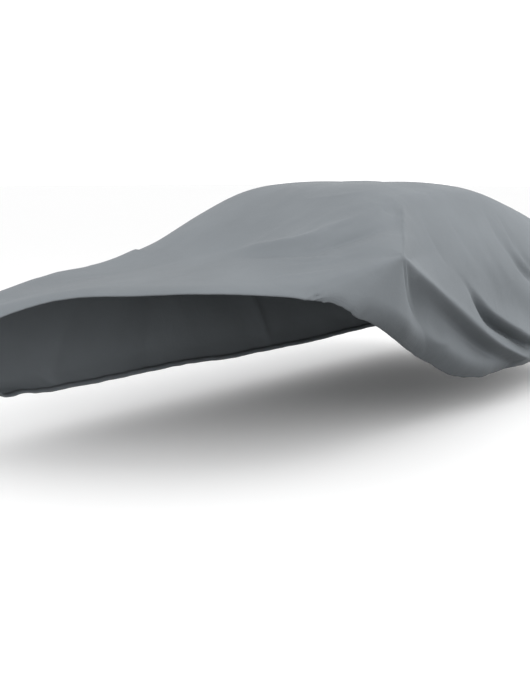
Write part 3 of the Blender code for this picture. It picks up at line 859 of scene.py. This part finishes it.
class CoverClothSettings(bpy.types.PropertyGroup):
    """Sizes and colour of the cloth."""

    thickness: FloatProperty(
        name="Thickness", description="Thickness of the cloth", default=0.0015, min=0.0005, unit="LENGTH",
    )
    colour: FloatVectorProperty(
        name="Colour", description="Colour of the cloth", subtype="COLOR", size=3, min=0.0, max=1.0,
        default=linear("787d81")[:3],
    )


class CoverStageSettings(bpy.types.PropertyGroup):
    """Floor and light."""

    floor_colour: FloatVectorProperty(
        name="Floor", description="Colour of the floor", subtype="COLOR", size=3, min=0.0, max=1.0,
        default=linear("f8f8f8")[:3],
    )
    surround: FloatProperty(
        name="Surround", description="Strength of the light from all round", default=1.0, min=0.0,
    )
    top_light: FloatProperty(
        name="Top light", description="Power of the large light overhead", default=125.0, min=0.0,
        unit="POWER",
    )
    side_light: FloatProperty(
        name="Side light", description="Power of the low light on the near side", default=26.0, min=0.0,
        unit="POWER",
    )
    front_light: FloatProperty(
        name="Front light", description="Power of the light before the front end", default=260.0, min=0.0,
        unit="POWER",
    )


class COVER_OT_make_cloth(bpy.types.Operator):
    """Build the draped cloth with its gathered hem"""

    bl_idname = "fitted_cover.make_cloth"
    bl_label = "Make Cover Cloth"

    def execute(self, context):
        settings = context.scene.cover_cloth
        cloth = bpy.data.objects.new("cover_cloth", cloth_mesh("cover_cloth"))
        context.scene.collection.objects.link(cloth)
        cloth.data.materials.append(woven_polyester(settings.colour))
        sheet = cloth.modifiers.new("cloth thickness", "SOLIDIFY")
        sheet.thickness = settings.thickness
        sheet.offset = -1.0
        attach(cloth, "root")
        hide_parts("cover")
        return {"FINISHED"}


# ---------------------------------------------------------------- stage

GROUND = -ORIGIN_UP
FLOOR_SIZE = 300.0
# The photograph's view: angles in radians, focal length in its pixels, sensor in millimetres.
CAMERA_PLACE = (3.7711, -5.0220, 0.0200)
CAMERA_YAW = -0.73421
CAMERA_PITCH = -0.17654
IMAGE_HEIGHT = 686
FOCAL_PIXELS = 927.83
SENSOR = 36.0
SOFTBOXES = (
    # setting, place, aim, size
    ("top_light", (3.0, 2.2, 3.6), (0.2, 0.0, -0.6), 4.0),
    ("side_light", (5.4, 1.6, 0.7), (0.8, 0.0, -0.5), 3.0),
    ("front_light", (-1.0, -9.5, 0.9), (0.0, -0.4, -0.2), 5.0),
)
# Light from all round, from straight down to straight up: brightest low round the horizon, less
# overhead and little from below.
SURROUND = (
    # height of the direction, brightness
    (-1.0, 0.10),
    (-0.35, 0.15),
    (-0.12, 0.49),
    (-0.03, 1.22),
    (0.15, 1.45),
    (1.0, 0.76),
)
BRIGHTEST = max(bright for _, bright in SURROUND)


def facing(direction):
    """Rotation that points a camera's or a light's -Z axis along a direction."""
    return Vector(direction).to_track_quat("-Z", "Y").to_euler()


def add_camera(scene):
    """The camera that sees the cover as the photograph does."""
    camera = bpy.data.objects.new("camera", bpy.data.cameras.new("camera"))
    scene.collection.objects.link(camera)
    camera.data.sensor_width = SENSOR
    camera.data.lens = FOCAL_PIXELS * SENSOR / IMAGE_HEIGHT
    camera.location = CAMERA_PLACE
    level = math.cos(CAMERA_PITCH)
    camera.rotation_euler = facing(
        (math.sin(CAMERA_YAW) * level, math.cos(CAMERA_YAW) * level, math.sin(CAMERA_PITCH))
    )
    scene.camera = camera


def add_softbox(scene, name, place, aim, size, power):
    """A square area light that shines from a place towards another."""
    light = bpy.data.lights.new(name, "AREA")
    light.size = size
    light.energy = power
    lamp = bpy.data.objects.new(name, light)
    scene.collection.objects.link(lamp)
    lamp.location = place
    lamp.rotation_euler = facing(Vector(aim) - Vector(place))


def studio_surround(strength):
    """Even studio light from all round, as the table SURROUND says."""
    world = bpy.data.worlds.new("studio")
    world.use_nodes = True
    tree = world.node_tree
    way = add_node(tree, "ShaderNodeTexCoord")
    parts = add_node(tree, "ShaderNodeSeparateXYZ", inputs={"Vector": way.outputs["Generated"]})
    place = add_node(
        tree, "ShaderNodeMapRange",
        inputs={"Value": parts.outputs["Z"], "From Min": -1.0, "From Max": 1.0},
    )
    ramp = add_node(tree, "ShaderNodeValToRGB", inputs={"Fac": place.outputs["Result"]})
    stops = ramp.color_ramp.elements
    while len(stops) < len(SURROUND):
        stops.new(0.5)
    for stop, (up, _) in zip(stops, SURROUND):
        stop.position = (up + 1.0) / 2.0
    for stop, (_, bright) in zip(stops, SURROUND):
        stop.color = (*(bright / BRIGHTEST,) * 3, 1.0)
    background = tree.nodes["Background"]
    tree.links.new(ramp.outputs["Color"], background.inputs["Color"])
    background.inputs["Strength"].default_value = BRIGHTEST * strength
    return world


class COVER_OT_make_stage(bpy.types.Operator):
    """Build the floor, the light and the camera"""

    bl_idname = "fitted_cover.make_stage"
    bl_label = "Make Stage"

    def execute(self, context):
        scene, settings = context.scene, context.scene.cover_stage
        half = FLOOR_SIZE / 2
        mesh = bpy.data.meshes.new("floor")
        mesh.from_pydata(
            [(-half, -half, GROUND), (half, -half, GROUND), (half, half, GROUND), (-half, half, GROUND)],
            [], [(0, 1, 2, 3)],
        )
        floor = bpy.data.objects.new("floor", mesh)
        floor.data.materials.append(painted_floor(settings.floor_colour))
        scene.collection.objects.link(floor)
        # The floor throws no light back on the cloth: what comes from below is the surround's alone.
        floor.visible_diffuse = False
        scene.world = studio_surround(settings.surround)
        for setting, place, aim, size in SOFTBOXES:
            add_softbox(scene, setting.replace("_", " "), place, aim, size, getattr(settings, setting))
        add_camera(scene)
        scene.view_settings.view_transform = "Standard"
        return {"FINISHED"}


class COVER_PT_panel(bpy.types.Panel):
    """Lists the cover's pieces and its stage"""

    bl_label = "Fitted Cover"
    bl_space_type = "VIEW_3D"
    bl_region_type = "UI"
    bl_category = "Fitted Cover"

    def draw(self, context):
        for title, settings, maker in (
            ("Cloth", context.scene.cover_cloth, COVER_OT_make_cloth),
            ("Stage", context.scene.cover_stage, COVER_OT_make_stage),
        ):
            box = self.layout.box()
            box.label(text=title)
            for name in settings.__annotations__:
                box.prop(settings, name)
            box.operator(maker.bl_idname)


CLASSES = (
    CoverClothSettings,
    CoverStageSettings,
    COVER_OT_make_cloth,
    COVER_OT_make_stage,
    COVER_PT_panel,
)


def register():
    """Add the classes and the scene's settings to Blender."""
    for made in CLASSES:
        bpy.utils.register_class(made)
    bpy.types.Scene.cover_cloth = PointerProperty(type=CoverClothSettings)
    bpy.types.Scene.cover_stage = PointerProperty(type=CoverStageSettings)


def unregister():
    """Take them out again."""
    del bpy.types.Scene.cover_stage
    del bpy.types.Scene.cover_cloth
    for made in reversed(CLASSES):
        bpy.utils.unregister_class(made)


def main():
    """Build the stage and the cloth."""
    register()
    bpy.ops.fitted_cover.make_stage()
    bpy.ops.fitted_cover.make_cloth()


if __name__ == "__main__":
    main()
